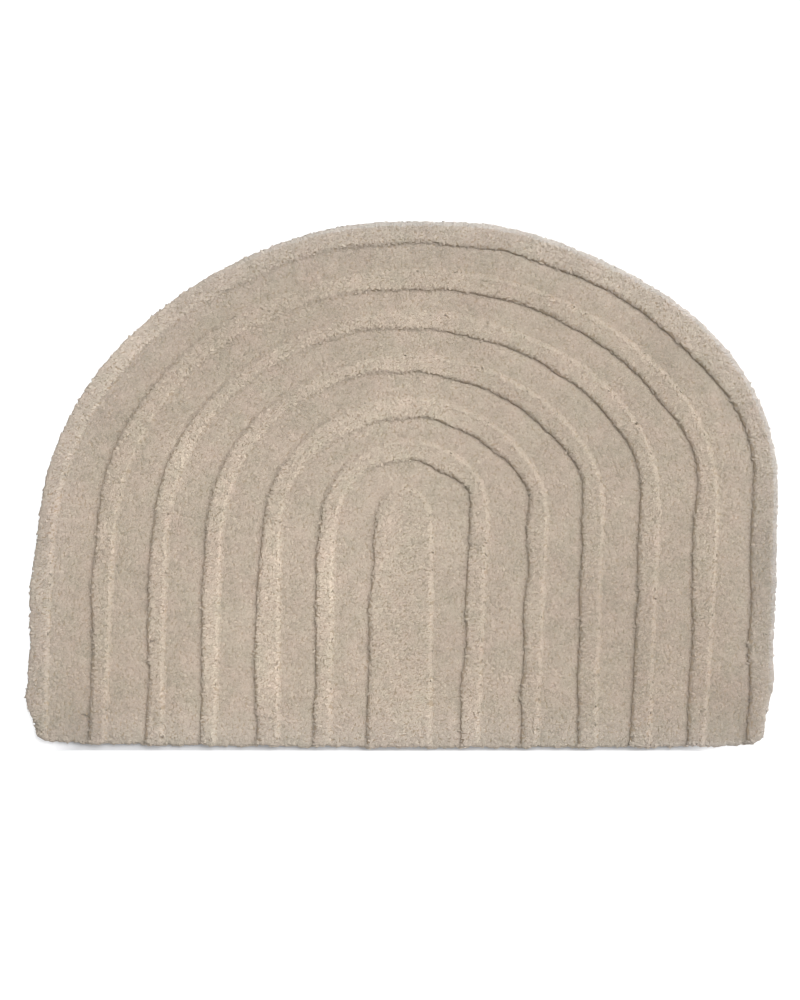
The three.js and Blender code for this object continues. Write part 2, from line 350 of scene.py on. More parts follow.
def cubic(places, values, at):
    """A cubic through the values at ascending places, whose slope at each is that of the line between its
    neighbours."""
    places, values = np.asarray(places, float), np.asarray(values, float)
    before = np.maximum(np.arange(len(places)) - 1, 0)
    after = np.minimum(np.arange(len(places)) + 1, len(places) - 1)
    slopes = (values[after] - values[before]) / (places[after] - places[before])
    i = np.clip(np.searchsorted(places, at) - 1, 0, len(places) - 2)
    span = places[i + 1] - places[i]
    t = (at - places[i]) / span
    start = (1 + 2 * t) * (1 - t) ** 2 * values[i] + t * (1 - t) ** 2 * span * slopes[i]
    return start + t**2 * (3 - 2 * t) * values[i + 1] - t**2 * (1 - t) * span * slopes[i + 1]


def ripple(along, waves, phase=0.0):
    """The sum of a few sine waves, each shifted by the phase and by its own length."""
    return sum(high * np.sin(2 * np.pi * along / long + phase + long) for long, high in waves)


def outward(turn):
    """The direction straight out from the spine line."""
    angle = np.radians(np.clip(turn, 0, 180))
    return np.stack([np.cos(angle), np.sin(angle)], -1)


def down_leg(turn):
    """How far down a leg a turn lies: 0 at its springing line and all round the arch, 1 at the hem."""
    return np.maximum(np.maximum(-turn, turn - 180), 0) / LEG_TURN


def with_lean(turn, way):
    """How much a side that faces out, way 1, or in, way -1, faces with the pile's lean, between 0 and 1: an
    S curve of its direction's part along the lean. It counts a little less round the arch than down a
    leg."""
    along = way * (outward(turn) @ PILE_LEAN)
    return smooth((along - STEEP_FROM) / STEEP_SPAN) * lerp(STEEP_ROUND_ARCH, 1, down_leg(turn))


def gentle_run(turn):
    """How far a gentle side slopes to each side of its middle: further where it lies along the lean."""
    return GENTLE_RUN * lerp(GENTLE_WIDER, 1, smooth(np.abs(outward(turn) @ PILE_LEAN) / GENTLE_ALONG))


def smooth_edge(edge, turn):
    """Distance of an edge from the spine line as drawn, before the shears."""
    return cubic(TURNS[::-1], EDGES[edge][::-1], turn)


def edge_ripple(edge, turn, waves, phase):
    """Sine waves along an edge, whose phases differ from edge to edge. The way along it is, roughly, a
    leg's own length and an arc of the edge's mean radius."""
    arch = np.radians(np.clip(turn, 0, 180)) * float(np.mean(EDGES[edge]))
    along = arch + LEG_LENGTH * (np.maximum(turn - 180, 0) - np.maximum(-turn, 0)) / LEG_TURN
    return ripple(along, waves, phase * list(EDGES).index(edge))


def edge_at(edge, turn):
    """Distance of an edge from the spine line: the drawn edge, plus where the shears strayed, plus a fine
    wobble."""
    turn = np.asarray(turn, float)
    if edge is None:
        return np.zeros_like(turn)
    strays = STRAYS[edge][::-1]
    turns = [strays[0][0] - STRAY_ENDS] + [t for t, _ in strays] + [strays[-1][0] + STRAY_ENDS]
    shifts = [0] + [s for _, s in strays] + [0]
    inside = (turn > turns[0]) & (turn < turns[-1])
    stray = np.where(inside, cubic(turns, shifts, np.clip(turn, turns[0], turns[-1])), 0)
    return smooth_edge(edge, turn) + stray + edge_ripple(edge, turn, EDGE_WAVES, EDGE_PHASE)


def unevenly(edge, turn):
    """How deep the shears went along an edge, about 1."""
    return 1 + edge_ripple(edge, turn, DEPTH_WAVES, DEPTH_PHASE)


def near_outline(turn, distance):
    """The radius of the lower corner on a place's side, and how far the place has come from where the
    rounding of that corner begins, 0, to the outline, 1."""
    corner = lerp(RIGHT_CORNER, LEFT_CORNER, np.clip(turn / 180, 0, 1))
    return corner, np.clip((distance - edge_at("rimOuter", turn)) / corner + 1, 0, 1)


def plan(turn, distance, inset):
    """The point of the plan at a turn and a distance from the spine line, drawn in from the outline by an
    inset. A leg's rows curve up round the lower corners with the hem. The hem lifts towards its ends by a
    sixth power, tilts, sags near its middle by a bell curve, and wavers a little."""
    turn, distance = np.broadcast_arrays(np.asarray(turn, float), np.asarray(distance, float))
    corner, rounded = near_outline(turn, distance)
    out = outward(turn) * (distance - inset * rounded)[..., None]
    across = out[..., 0] / EDGES["rimOuter"][0]
    uneven = ripple(out[..., 0], HEM_WAVES) - HEM_SAG * np.exp(-(((out[..., 0] - SAG_AT) / SAG_REACH) ** 2))
    level = HEM_LIFT * across**6 - HEM_TILT * across - LEG_LENGTH + uneven
    hem = level + corner - (corner - inset) * np.sqrt(1 - rounded**2)
    return np.stack([out[..., 0], out[..., 1] + down_leg(turn) * hem], -1)


def frame_shift():
    """What moves the plan so that the middle of its outline lies in the middle of the CAD node."""
    low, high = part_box(NODE)
    turn = np.linspace(TURNS[-1], TURNS[0], 2000)
    outline = plan(turn, smooth_edge("rimOuter", turn), 0)
    hem = plan(np.full(200, TURNS[0]), np.linspace(0, EDGES["rimOuter"][0], 200), 0)
    every = np.concatenate([outline, hem])
    middle = (every.min(0) + every.max(0)) / 2
    return np.array([low.x + high.x, low.y + high.y]) / 2 / M - middle


SHIFT = frame_shift()


class MatSizes(bpy.types.PropertyGroup):
    field_height: FloatProperty(
        name="Low pile", description="Height of the low pile over the floor", default=9 * M, unit="LENGTH")
    raised_height: FloatProperty(
        name="Raised pile", description="Height of the rim, ribs and middle arch over the floor",
        default=13 * M, unit="LENGTH")
    pitch: FloatProperty(
        name="Tuft pitch", description="Distance from one tuft to the next", default=2.58 * M, unit="LENGTH")
    tuft_width: FloatProperty(
        name="Tuft width", description="Width of a tuft's cut end", default=3.8 * M, unit="LENGTH")
    tuft_length: FloatProperty(
        name="Tuft length", description="How much of a tuft stands free of its neighbours", default=5.5 * M,
        unit="LENGTH")
    seed: IntProperty(name="Seed", description="Starts the random draws", default=7)


class WoolLooks(bpy.types.PropertyGroup):
    wool: FloatVectorProperty(
        name="Wool", description="Colour of the wool", subtype="COLOR", size=3, default=(0.490, 0.413, 0.331))
    shade: FloatVectorProperty(
        name="Dark fibre", description="Colour of the darker fibres", subtype="COLOR", size=3,
        default=(0.236, 0.199, 0.159))
    backing: FloatVectorProperty(
        name="Backing", description="Colour of the cloth underneath", subtype="COLOR", size=3,
        default=(0.50, 0.45, 0.36))
    tone_spread: FloatProperty(
        name="Tone spread", description="How much one tuft's tone differs from the next", default=0.04)


class StageLooks(bpy.types.PropertyGroup):
    floor: FloatVectorProperty(
        name="Floor", description="Colour of the floor", subtype="COLOR", size=3, default=(0.42, 0.42, 0.43))
    key: FloatProperty(
        name="Key light", description="Strength of the light from the crown's side", default=2.1)
    right: FloatProperty(
        name="Right light", description="Strength of the low light from the right", default=2.4)
    left: FloatProperty(name="Left light", description="Strength of the low light from the left", default=0.4)
    fill: FloatProperty(name="Fill light", description="Strength of the light from all round", default=0.33)
    glow: FloatProperty(
        name="Floor glow", description="Light that the floor gives off by itself, except along the hem",
        default=0.7)
    softbox: FloatProperty(
        name="Softbox", description="Power of the soft light overhead", default=4.0, subtype="POWER")
    lens: FloatProperty(name="Lens", description="Focal length of the camera", default=85.0)


def sizes():
    return bpy.context.scene.doormat_sizes


def rounding(gap):
    """How far the pile has fallen at a distance from the outline or the hem: by the square of the share of
    the rounded width that still lies ahead."""
    return ROUNDING * np.clip(1 - gap / ROUNDED, 0, 1) ** 2


def pile_height(turn, distance, strip):
    """Height of the pile's tips over the floor, in millimetres. Beside an edge that faces against the lean,
    both strips share an even S slope, whose middle lies a little beyond the raised strip's edge. Beside one
    that faces with it, the raised strip is rounded off, the low strip dips into a groove, and between them
    is a step. A side in between is a mix. A low strip swells a little in its middle, and the rim falls off
    towards the outline."""
    _, inner, outer, raised = strip
    field, top = sizes().field_height / M, sizes().raised_height / M
    rise = top - field
    start, end = edge_at(inner, turn), edge_at(outer, turn)
    height = np.full_like(distance, top if raised else field)
    if not raised:
        width = np.maximum(end - start, 1e-6)
        height = height + SWELL * (1 - (2 * (distance - start) / width - 1) ** 2)
    for gap, way, edge in ((distance - start, -1, inner), (end - distance, 1, outer)):
        if edge == "rimOuter":
            height = height - rounding(gap)
        elif edge:
            over = with_lean(turn, way if raised else -way)
            outer_side = (way > 0) == raised
            beyond = lerp(*GENTLE_BEYOND[1:], outward(turn)[..., 1]) if outer_side else GENTLE_BEYOND[0]
            from_middle = gap + (beyond if raised else -beyond)
            slope = rise * (1 - smooth(0.5 + 0.5 * from_middle / gentle_run(turn)))
            if raised:
                rounded = STEEP_FALL * rise * np.clip(1 - gap / STEEP_RUN, 0, 1) ** 2
                height = height - lerp(slope, rounded, over)
            else:
                groove = GROOVE * unevenly(edge, turn) * np.exp(-((gap / GROOVE_WIDTH) ** 2))
                height = height + lerp(slope, -groove, over)
    return height


def to_hem(turn, distance, inset=0.0):
    """How far a place of the plan, drawn in by an inset, lies inside the hem, measured along Y. It is a
    large number round the arch."""
    here = plan(turn, distance, inset)[..., 1]
    foot = plan(np.where(np.asarray(turn) > 90, TURNS[0], TURNS[-1]), distance, 0)[..., 1]
    return here - foot


def top_at(turn, distance, inset):
    """Height of the pile at places drawn in from the outline by an inset, whichever strips they lie in."""
    reach = distance - inset * near_outline(turn, distance)[1]
    height = np.zeros_like(reach)
    for strip in STRIPS:
        inside = (reach >= edge_at(strip[1], turn) - 1e-6) & (reach <= edge_at(strip[2], turn) + 1e-6)
        height = np.where(inside, pile_height(turn, reach, strip), height)
    return height - rounding(to_hem(turn, distance, inset))


def tufts_in(strip, draw):
    """Places for a strip's tufts: rows that follow the strip's edges at even steps across it, and even
    steps along each row, all strayed a little at random, and more beside a steep side. Returns turn,
    distance, and height of each tuft's tip."""
    _, inner, outer, raised = strip
    pitch = sizes().pitch / M
    turns = np.linspace(TURNS[0], TURNS[-1], ROW_PLACES)
    start, end = edge_at(inner, turns), edge_at(outer, turns)
    way = 1 if raised else -1
    shorn = RAISED_CUT if raised else LOW_CUT
    if inner:
        start = start + lerp(*shorn, with_lean(turns, -way)) * unevenly(inner, turns)
    at_rim = outer == "rimOuter"
    end = end - (RIM_CUT if at_rim else lerp(*shorn, with_lean(turns, way)) * unevenly(outer, turns))
    rows = max(1, int(round(float(np.mean(end - start)) / pitch)))
    found = []
    for row in range(rows):
        share = (row + 0.5) / rows
        length = steps_along(plan(turns, lerp(start, end, share), 0))
        room = ((end - start) / rows / pitch)[1:]
        along = np.concatenate([[0], np.cumsum(length * room)])
        count = max(1, int(along[-1] / pitch))
        strays = draw.uniform(-STRAY_ALONG, STRAY_ALONG, count)
        steps = (np.arange(count) + 0.5 + 0.5 * (row % 2) + strays) % count
        turn = np.interp(steps * along[-1] / count, along, turns)
        stray = draw.uniform(-STRAY_ACROSS, STRAY_ACROSS, count) / rows
        first, last = np.interp(-turn, -turns, start), np.interp(-turn, -turns, end)
        steep = with_lean(turn, way if share > 0.5 else -way)
        at_edge = steep * np.exp(-min(share, 1 - share) * (last - first) / RAGGED_REACH)
        loose = draw.normal(0, LOOSE, count) * (1 + RAGGED * at_edge)
        found.append(np.stack([turn, lerp(first, last, share + stray) + loose], -1))
    turn, distance = np.concatenate(found).T
    keep = to_hem(turn, distance) > HEM_CUT
    keep |= (turn > 0) & (turn < 180)
    turn, distance = turn[keep], distance[keep]
    return turn, distance, pile_height(turn, distance, strip) - rounding(to_hem(turn, distance))


def edge_path(inset):
    """Points round the whole mat at an inset from its outline, with the outward direction at each: out
    along the left hem, round the outline and back along the right hem."""
    fine = 600
    around = np.linspace(TURNS[0], TURNS[-1], 4 * fine)
    left = np.linspace(0, float(edge_at("rimOuter", TURNS[0])), fine)
    right = np.linspace(float(edge_at("rimOuter", TURNS[-1])), 0, fine)
    turn = np.concatenate([np.full(fine, TURNS[0]), around, np.full(fine, TURNS[-1])])
    distance = np.concatenate([left, edge_at("rimOuter", around), right])
    line = plan(turn, distance, inset)
    keep = np.concatenate([[True], steps_along(line) > 1e-6])
    turn, distance, line = turn[keep], distance[keep], line[keep]
    tangent = unit(np.gradient(line, axis=0))
    return turn, distance, line, np.stack([-tangent[:, 1], tangent[:, 0]], -1)


def root_under(tip, way):
    """Where tufts that lean a way are rooted: a tuft's length down from the tip, but no deeper than the
    backing."""
    root = tip - way * sizes().tuft_length / M
    root[:, 2] = np.maximum(root[:, 2], DEEPEST)
    return root


def wall_tufts(draw):
    """Tufts of the side wall, all round the mat: rows down the wall's bulge, each tuft's root further in
    and lower than its tip. Returns roots, tips, the way that each cut end faces, how far in each stands, and
    how much painted light each gets."""
    pitch = sizes().pitch / M
    roots, tips, cuts, highlights = [], [], [], []
    for inset, share, tilt in WALL_TUFTS:
        turn, distance, line, out = edge_path(inset)
        along = np.concatenate([[0], np.cumsum(steps_along(line))])
        count = int(along[-1] / pitch / WALL_PITCH)
        steps = (np.arange(count) + draw.uniform(*WALL_STEPS, count)) * along[-1] / count
        at = [np.interp(steps, along, column) for column in (turn, distance, *line.T, *out.T)]
        high = top_at(at[0], at[1], max(inset, 0)) * share + draw.normal(0, WALL_HEIGHT_STRAY, count)
        tip = with_z(np.stack(at[2:4], -1) + draw.normal(0, WALL_LOOSE, (count, 2)), high)
        lean = np.stack(at[4:], -1) * tilt + draw.normal(0, WALL_LEAN_STRAY, (count, 2))
        way = unit(with_z(lean, 1.0))
        roots.append(root_under(tip, way))
        tip[:, 2] = np.maximum(tip[:, 2], LOWEST_TIP)
        tips.append(tip)
        cuts.append(way)
        # Painted light: paler all round, and more on the low rows that face the hem's way
        highlights.append(WALL_HIGHLIGHT[0] + WALL_HIGHLIGHT[1] * np.clip(-at[5], 0, 1) * (1 - share))
    roots, tips, cuts, highlights = (np.concatenate(rows) for rows in (roots, tips, cuts, highlights))
    return roots, tips, cuts, np.zeros(len(tips)), highlights


def shorn_slope(turn, distance, strip):
    """How steeply the shorn surface rises outwards: the pile's height a little further out less the height
    a little further in, over the way between."""
    before = np.maximum(distance - SLOPE_STEP, edge_at(strip[1], turn) + EDGE_GAP)
    after = np.minimum(distance + SLOPE_STEP, edge_at(strip[2], turn) - EDGE_GAP)
    rise = pile_height(turn, after, strip) - pile_height(turn, before, strip)
    return rise / np.maximum(after - before, 0.1)


def snipped(place):
    """How far the snips lower the pile at a place: the depth of a snip times a bell curve of the distance
    to it."""
    low = np.zeros(len(place))
    for start, end in SNIPS:
        along = np.subtract(end, start)
        share = np.clip((place - start) @ along / (along @ along), 0, 1)
        away = np.linalg.norm(place - start - share[:, None] * along, axis=1)
        low = np.maximum(low, SNIP_DEPTH * np.exp(-((away / SNIP_WIDTH) ** 2)))
    return low


def standing_tufts(strip, draw):
    """Roots and tips of a strip's tufts, the way that each cut end faces, how far in each stands, and how
    much painted highlight it gets. A tuft leans with the pile, on a rib away from the rib's middle too,
    outwards on the rim, down at the hem, and a little at random. Its end is cut along the shorn surface,
    give or take."""
    name, inner, outer, raised = strip
    turn, distance, height = tufts_in(strip, draw)
    count = len(turn)
    lean = np.tile(PILE_LEAN * LEAN_WITH_PILE[raised], (count, 1))
    out = outward(turn)
    start, end = edge_at(inner, turn), edge_at(outer, turn)
    if name == "rim":
        near = 1 - smooth((end - distance) / OUTLINE_REACH)
        lean += out * (LEAN_RIM + near * LEAN_OUTLINE)[:, None]
    elif raised and inner:
        lean += out * (LEAN_FROM_MIDDLE * ((distance - start) / (end - start) - 0.5))[:, None]
    legs = (turn > 180) | (turn < 0)
    near_hem = np.where(legs, 1 - smooth(to_hem(turn, distance) / HEM_REACH), 0)
    lean[:, 1] -= LEAN_HEM * near_hem
    steep_in = with_lean(turn, -1 if raised else 1) * np.exp(-(distance - start) / UNEVEN_REACH)
    steep_out = with_lean(turn, 1 if raised else -1) * np.exp(-(end - distance) / UNEVEN_REACH)
    uneven = 1 + UNEVEN_SIDE * (steep_in + steep_out)
    lean += draw.normal(0, LEAN_STRAY[raised], (count, 2)) * uneven[:, None]
    if raised:
        lean += out * draw.normal(0, LEAN_OUT_STRAY, (count, 1))
    tip = with_z(plan(turn, distance, 0), height)
    tip[:, 2] += draw.normal(0, HEIGHT_STRAY[raised], count)
    tip[:, 2] -= snipped(tip[:, :2])
    slope = out * shorn_slope(turn, distance, strip)[:, None] + np.array((0, CUT_HEM)) * near_hem[:, None]
    slope = slope + draw.normal(0, CUT_STRAY[raised], (count, 2))
    inside = np.minimum(edge_at("rimOuter", turn) - distance, to_hem(turn, distance))
    # Painted highlight on a raised strip's sides that face one way, fading in from the edge
    highlight = np.zeros(count)
    for gap, way, edge in ((distance - start, -1, inner), (end - distance, 1, outer)):
        if raised and edge not in (None, "rimOuter"):
            highlight += np.clip(way * (out @ HIGHLIGHT_FACING), 0, 1) * np.exp(-((gap / SIDE_HIGHLIGHT_REACH) ** 2))
    return root_under(tip, unit(with_z(lean, 1.0))), tip, unit(with_z(-slope, 1.0)), inside, highlight


def patch_paleness(place, pile):
    """How pale the pile is at a place, 1 outside all patches: each patch adds its amount times a bell
    curve of the distance from its middle. The pile is 0 where low, 1 on a rib and 2 on the rim."""
    pale = np.ones(len(place))
    for x, y, reach, *amounts in PALE_PATCHES:
        away = ((place - (x, y)) ** 2).sum(1)
        pale += amounts[pile] * np.exp(-away / reach**2)
    return pale


def tuft_points(root, tip, cut, pile, draw):
    """The points of many tufts, tuft by tuft. A tuft is an upside-down cone from its root to a crown of a
    few points round its tip, closed by a middle point. The crown lies square to the way that the cut end
    faces, is longer the way the tuft leans, and its points lie at random radii and a little up or down."""
    count = len(root)
    along = unit(tip - root) + draw.normal(0, CROWN_ASKEW, (count, 3))
    along = unit(along - cut * (along * cut).sum(1)[:, None])
    across = np.cross(cut, along)
    width = sizes().tuft_width / M / 2 * draw.uniform(*TUFT_WIDTHS, (count, 1))
    angle = 2 * np.pi * (np.arange(SIDES)[None] + draw.uniform(0, 1, (count, 1))) / SIDES
    radius = width * draw.uniform(*CROWN_RADII, (count, SIDES))
    high = draw.uniform(*CROWN_HEIGHTS, (count, SIDES))
    longer, narrower = CROWN_ON_RAISED if pile else CROWN_ON_LOW
    crown = (
        tip[:, None]
        + along[:, None] * (radius * np.cos(angle) * longer)[..., None]
        + across[:, None] * (radius * np.sin(angle) * narrower)[..., None]
        + cut[:, None] * high[..., None]
    )
    middle = tip + cut * CROWN_MIDDLE
    points = np.concatenate([root[:, None], crown, middle[:, None]], 1)
    points[..., :2] += SHIFT
    points[..., 2] = np.maximum(points[..., 2], LOWEST_POINT)
    return points


def tuft_mesh(name, root, tip, cut, inside, highlight, pile, draw):
    """One mesh of many tufts, with sharp crowns. Its points carry the tuft's own tone, how far up the tuft
    they lie, how pale the wool is there, painted highlights and painted shade included, and how much greyer
    its colour is made, partly as painted highlight."""
    points = tuft_points(root, tip, cut, pile, draw)
    count, each = points.shape[:2]
    ring = np.arange(SIDES)
    after = (ring + 1) % SIDES
    walls = np.stack([np.zeros(SIDES, int), 1 + after, 1 + ring], -1)
    caps = np.stack([np.full(SIDES, SIDES + 1), 1 + ring, 1 + after], -1)
    faces = np.concatenate([walls, caps])[None] + each * np.arange(count)[:, None, None]
    mesh = mesh_of(name, points.reshape(-1, 3) * M, faces.reshape(-1, 3))
    ends = np.zeros(len(mesh.edges) * 2, np.int32)
    mesh.edges.foreach_get("vertices", ends)
    place_in_tuft = ends.reshape(-1, 2) % each
    sharp = ((place_in_tuft > 0) & (place_in_tuft <= SIDES)).all(1)
    mesh.attributes.new("sharp_edge", "BOOLEAN", "EDGE").data.foreach_set("value", sharp)
    tone = draw.normal(0, 1, count)
    depth = np.tile(np.array([0.0] + [CROWN_DEPTH] * SIDES + [1.0]), count)
    few = LEAST_PALE + draw.gamma(2, PALE_FEW, count)
    # Paleness of the patches and of a random few, times the painted highlight on one side of the raised
    # strips
    pale = patch_paleness(tip[:, :2], pile) * few * (1 + SIDE_HIGHLIGHT * highlight)
    # Painted shade inside the snips
    pale *= 1 - SNIP_SHADE * snipped(tip[:, :2]) / SNIP_DEPTH
    lit = np.clip(tip[:, :2] @ LIT / LIT_REACH, 0, 1)
    # Painted highlight at the outline on the light's side: paler, and greyer
    at_outline = np.exp(-((inside / EDGE_HIGHLIGHT_REACH) ** 2))
    pale *= 1 + EDGE_HIGHLIGHT * lit * at_outline
    faded = GREYER * np.exp(-((inside / GREYER_REACH) ** 2)) + EDGE_HIGHLIGHT_GREY * lit * at_outline
    tone, pale, faded = (np.repeat(values, each) for values in (tone, pale, faded))
    for label, values in (("tone", tone), ("depth", depth), ("pale", pale), ("faded", faded)):
        mesh.attributes.new(label, "FLOAT", "POINT").data.foreach_set("value", values.astype(np.float32))
    return mesh


def bake_map(mesh, points, corners):
    """A map for baking, straight from above: the corners' places in the plan as shares of its longer side."""
    low, high = points[:, :2].min(0), points[:, :2].max(0)
    flat = (points[corners, :2] - low) / (high - low).max()
    mesh.uv_layers.new(name="OFBake").uv.foreach_set("vector", flat.astype(np.float32).ravel())


def mesh_of(name, points, triangles):
    """A mesh from arrays of points, in metres, and triangles, shaded smooth, with its bake map."""
    mesh = bpy.data.meshes.new(name)
    mesh.vertices.add(len(points))
    mesh.vertices.foreach_set("co", points.astype(np.float32).ravel())
    mesh.loops.add(triangles.size)
    mesh.loops.foreach_set("vertex_index", triangles.astype(np.int32).ravel())
    mesh.polygons.add(len(triangles))
    mesh.polygons.foreach_set("loop_start", np.arange(0, triangles.size, 3, dtype=np.int32))
    mesh.polygons.foreach_set("use_smooth", np.ones(len(triangles), bool))
    mesh.update(calc_edges=True)
    bake_map(mesh, points, triangles.ravel())
    mesh.validate()
    return mesh


def place(name, mesh, material):
    """A finished piece: its object sits at the origin, rides on the mat's body and wears its material."""
    piece = bpy.data.objects.new(name, mesh)
    bpy.context.scene.collection.objects.link(piece)
    if not mesh.materials:
        mesh.materials.append(material)
    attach(piece, BODY)
    return piece


def body_levels(turn, inset):
    """Distances and heights of one section of the mat's ground, from the spine line out. Heights are those
    of the pile where a place comes to lie once it is drawn in, less the free length of the tufts. On a
    narrow strip the levels crowd together just inside its middle."""
    distance, height = [], []
    for strip in STRIPS:
        start, end = edge_at(strip[1], turn), edge_at(strip[2], turn)
        half = (end - start) / 2
        gaps = [np.minimum(gap, half * (CROWDED + gap / CROWDING)) for gap in GROUND_GAPS]
        for at in [start + gap for gap in gaps] + [start + half] + [end - gap for gap in gaps[::-1]]:
            reach = at - inset * near_outline(turn, at)[1]
            distance.append(at)
            height.append(pile_height(turn, reach, strip) - rounding(to_hem(turn, at, inset)) - FREE)
    return np.stack(distance, -1), np.stack(height, -1)


def body_mesh(name):
    """The mat's ground under the tufts, a closed surface: the top section by section round the arch, the
    wall ring by ring, and the flat underside as one face."""
    turn = np.concatenate([
        np.linspace(TURNS[0], 180, LEG_SECTIONS, endpoint=False),
        np.linspace(180, 0, ARCH_SECTIONS, endpoint=False),
        np.linspace(0, TURNS[-1], LEG_SECTIONS + 1)])
    inset = WALL[0][0]
    distance, height = body_levels(turn, inset)
    every = turn[:, None] + np.zeros_like(distance)
    points = [with_z(plan(every, distance, inset), height).reshape(-1, 3)]
    rows, levels = distance.shape
    index = np.arange(rows * levels).reshape(rows, levels)
    quads = [np.stack([index[:-1, :-1], index[1:, :-1], index[1:, 1:], index[:-1, 1:]], -1).reshape(-1, 4)]
    edge_rows = np.concatenate([np.zeros(levels, int), np.arange(1, rows - 1), np.full(levels - 1, rows - 1)])
    edge_levels = np.concatenate([
        np.arange(levels), np.full(rows - 2, levels - 1), np.arange(levels - 1, 0, -1)])
    around = len(edge_rows)
    ring = index[edge_rows, edge_levels]
    turns, distances = every[edge_rows, edge_levels], distance[edge_rows, edge_levels]
    for inset, share in WALL[1:]:
        points.append(with_z(plan(turns, distances, inset), share * (top_at(turns, distances, inset) - FREE)))
        lower = np.arange(around) + rows * levels + around * (len(points) - 2)
        quads.append(np.stack([ring, np.roll(ring, -1), np.roll(lower, -1), lower], -1))
        ring = lower
    points = np.concatenate(points)
    points[:, :2] += SHIFT
    quads = np.concatenate(quads)
    triangles = np.concatenate([quads[:, [0, 1, 2]], quads[:, [0, 2, 3]]])
    return closed_mesh(name, points * M, triangles, ring.tolist())


def closed_mesh(name, points, triangles, under):
    """Joins points that coincide, drops what collapses, and closes the underside with one face."""
    mesh = bpy.data.meshes.new(name)
    mesh.from_pydata(points.tolist(), [], triangles.tolist() + [under])
    grown = bmesh.new()
    grown.from_mesh(mesh)
    grown.faces.ensure_lookup_table()
    grown.faces[-1].material_index = 1
    bmesh.ops.remove_doubles(grown, verts=grown.verts, dist=1e-6)
    bmesh.ops.dissolve_degenerate(grown, edges=grown.edges, dist=1e-7)
    bmesh.ops.triangulate(grown, faces=[f for f in grown.faces if len(f.verts) > 3])
    grown.to_mesh(mesh)
    grown.free()
    mesh.polygons.foreach_set("use_smooth", np.ones(len(mesh.polygons), bool))
    points = np.zeros(len(mesh.vertices) * 3, np.float32)
    mesh.vertices.foreach_get("co", points)
    corners = np.zeros(len(mesh.loops), np.int32)
    mesh.loops.foreach_get("vertex_index", corners)
    bake_map(mesh, points.reshape(-1, 3), corners)
    return mesh


def fill(tree, node, values):
    """Gives a node's inputs their values: another node's output is linked, anything else is put there."""
    for socket, value in values:
        if isinstance(value, bpy.types.NodeSocket):
            tree.links.new(value, node.inputs[socket])
        else:
            node.inputs[socket].default_value = value
    return node


def add_node(tree, kind, values=(), **settings):
    """A new node of a shader tree, with its own settings and the values of its inputs."""
    node = tree.nodes.new("ShaderNode" + kind)
    for label, setting in settings.items():
        setattr(node, label, setting)
    return fill(tree, node, values)


def new_group(name, inputs, outputs):
    """An empty shader node group with named sockets, the outputs of its input node, and its output node."""
    group = bpy.data.node_groups.new(name, "ShaderNodeTree")
    for label, kind, value in inputs:
        socket = group.interface.new_socket(label, in_out="INPUT", socket_type="NodeSocket" + kind)
        socket.default_value = value
    for label, kind in outputs:
        group.interface.new_socket(label, in_out="OUTPUT", socket_type="NodeSocket" + kind)
    return group, group.nodes.new("NodeGroupInput").outputs, group.nodes.new("NodeGroupOutput")


def fibre_grain_group():
    """Fine fibres: noise on the piece's own place, as a height between 0 and 1."""
    name = "Fibre grain"
    if name in bpy.data.node_groups:
        return bpy.data.node_groups[name]
    group, given, result = new_group(
        name, [("Vector", "Vector", (0, 0, 0)), ("Scale", "Float", 1.0)], [("Height", "Float")])
    fine = add_node(group, "TexNoise", (
        ("Detail", 4), ("Roughness", 0.7), ("Vector", given["Vector"]), ("Scale", given["Scale"])))
    fill(group, result, [("Height", fine.outputs["Fac"])])
    return group


def fibre_grain(tree, place_in, scale):
    """The height of the fibres in a tree, at a place and a scale."""
    values = (("Scale", scale), ("Vector", place_in))
    return add_node(tree, "Group", values, node_tree=fibre_grain_group()).outputs["Height"]


